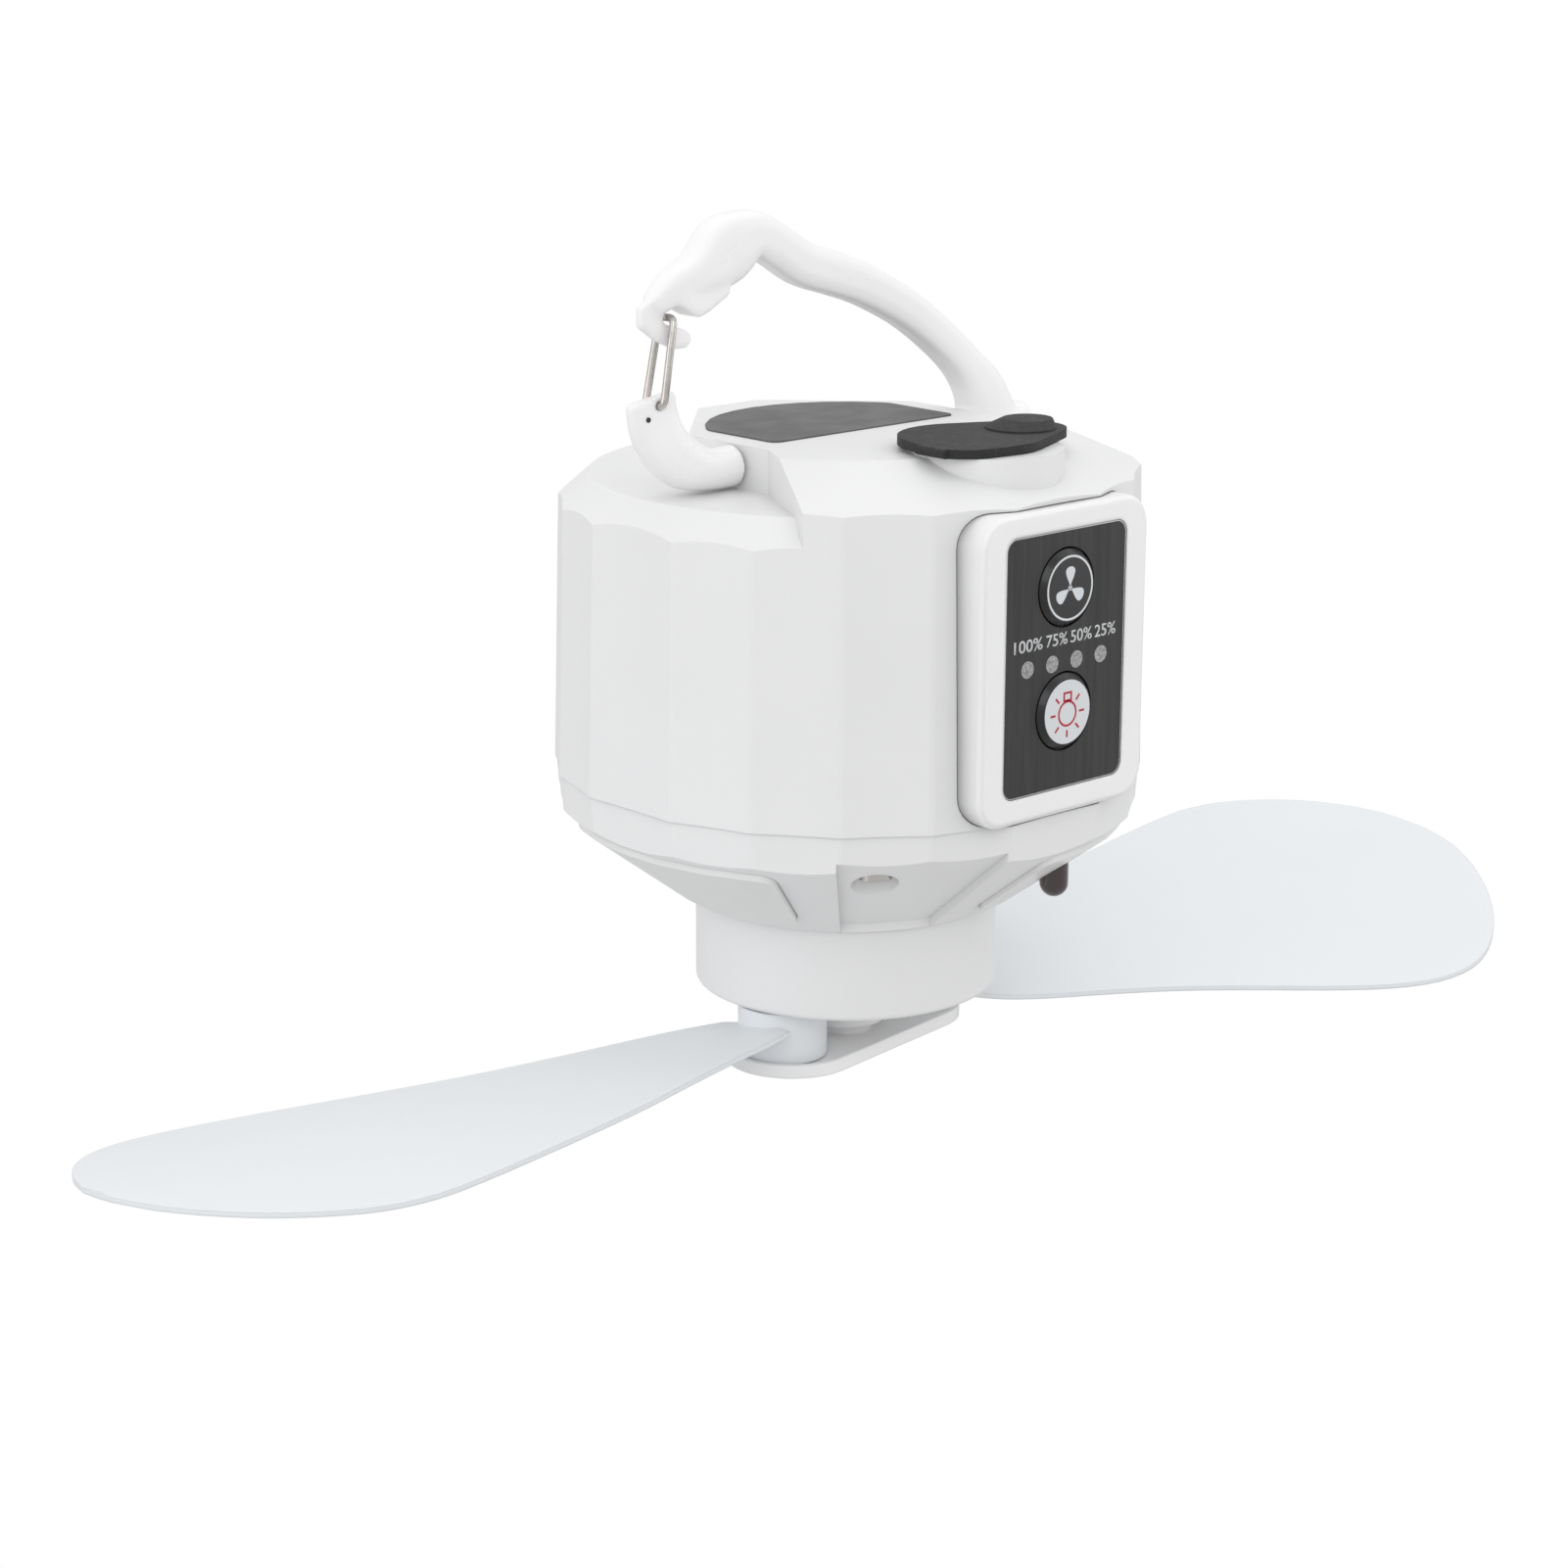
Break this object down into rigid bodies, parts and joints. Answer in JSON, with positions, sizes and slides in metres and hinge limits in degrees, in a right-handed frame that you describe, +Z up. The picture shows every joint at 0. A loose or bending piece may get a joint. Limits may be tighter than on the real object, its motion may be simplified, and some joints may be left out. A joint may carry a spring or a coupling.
{
  "type": "camping fan",
  "caption": "Hanging rechargeable camping fan with a fluted battery housing, underside lamp, folding carabiner handle with wire gate and a folding blade rotor.",
  "frame": {"origin": "crown of the carabiner handle, where the fan hangs from a cord or branch", "axes": "+Z up through the hang point; +X from the gate towards the closed side of the handle, along the blades; -Y out of the control panel; the rotor axis is parallel to Z, 21 mm towards +X from the origin"},
  "size_m": [0.2854, 0.0947, 0.1392],
  "materials": {
    "shell_white": "satin",
    "trim_white": "satin",
    "plate_black": "brushed, black anodised",
    "light_pipe": "diffusing",
    "board_green": "solder mask",
    "switch_black": "moulded",
    "cell_wrap": "shrink wrap",
    "cradle_grey": "moulded",
    "plate_grey": "fine grain",
    "socket_steel": "drawn",
    "window_milk": "diffusing",
    "lamp_board_white": "solder mask",
    "led_yellow": "phosphor",
    "dome_dark": "tinted",
    "screw_steel": "zinc plated",
    "motor_steel": "drawn",
    "shaft_steel": "ground",
    "carrier_white": "satin",
    "blade_white": "satin",
    "handle_white": "glossy, slightly translucent",
    "wire_steel": "polished",
    "button_black": "satin",
    "cover_rubber": "matte"
  },
  "bodies": {
    "housing": {"upper_shell": "shell_white", "lower_shell": "shell_white", "motor_drum": "shell_white", "panel_bezel": "trim_white", "face_plate": "plate_black", "charge_lights": "light_pipe", "control_board": "board_green", "board_switches": "switch_black", "battery_cells": "cell_wrap", "battery_cradle": "cradle_grey", "top_plate": "plate_grey", "charge_socket": "socket_steel", "socket_board": "board_green", "lamp_windows": "window_milk", "lamp_board": "lamp_board_white", "lamp_leds": "led_yellow", "remote_sensor": "dome_dark", "case_screws": "screw_steel", "motor_can": "motor_steel"},
    "rotor": {"motor_shaft": "shaft_steel", "blade_carrier": "carrier_white", "blade_screws": "screw_steel"},
    "first_blade": {"blade_a": "blade_white"},
    "second_blade": {"blade_b": "blade_white"},
    "bail": {"pivot_rod": "shaft_steel", "hook_arm": "handle_white", "gate_base": "handle_white"},
    "gate": {"wire_gate": "wire_steel"},
    "fan_key": {"fan_button": "button_black"},
    "light_key": {"light_button": "button_black"},
    "cover": {"port_cover": "cover_rubber"}
  },
  "joints": [
    {"name": "rotor_spin", "type": "hinge", "parent": "housing", "child": "rotor", "pos_m": [0.021, 0, -0.1195], "axis": [0, 0, 1], "continuous": true},
    {"name": "blade_a_fold", "type": "hinge", "parent": "rotor", "child": "first_blade", "pos_m": [0.00459, -0.00248, -0.1245], "axis": [0, 0, 1], "range_deg": [-70, 90]},
    {"name": "blade_b_fold", "type": "hinge", "parent": "rotor", "child": "second_blade", "pos_m": [0.03741, 0.00248, -0.1245], "axis": [0, 0, 1], "range_deg": [-70, 90]},
    {"name": "bail_fold", "type": "hinge", "parent": "housing", "child": "bail", "pos_m": [0.021, 0, -0.0315], "axis": [1, 0, 0], "range_deg": [-45, 20]},
    {"name": "gate_hinge", "type": "hinge", "parent": "bail", "child": "gate", "pos_m": [-0.0197, 0, -0.0205], "axis": [0, 1, 0], "range_deg": [0, 45], "stiffness_Nm_per_rad": 0.02, "springref_deg": -17.19},
    {"name": "cover_hinge", "type": "hinge", "parent": "housing", "child": "cover", "pos_m": [0.0078, -0.0315, -0.02675], "axis": [0, -1, 0], "range_deg": [0, 100]},
    {"name": "fan_button_press", "type": "slide", "parent": "housing", "child": "fan_key", "axis": [0, 1, 0], "range_m": [0, 0.0005], "stiffness_N_per_m": 400},
    {"name": "light_button_press", "type": "slide", "parent": "housing", "child": "light_key", "axis": [0, 1, 0], "range_m": [0, 0.0005], "stiffness_N_per_m": 400}
  ]
}
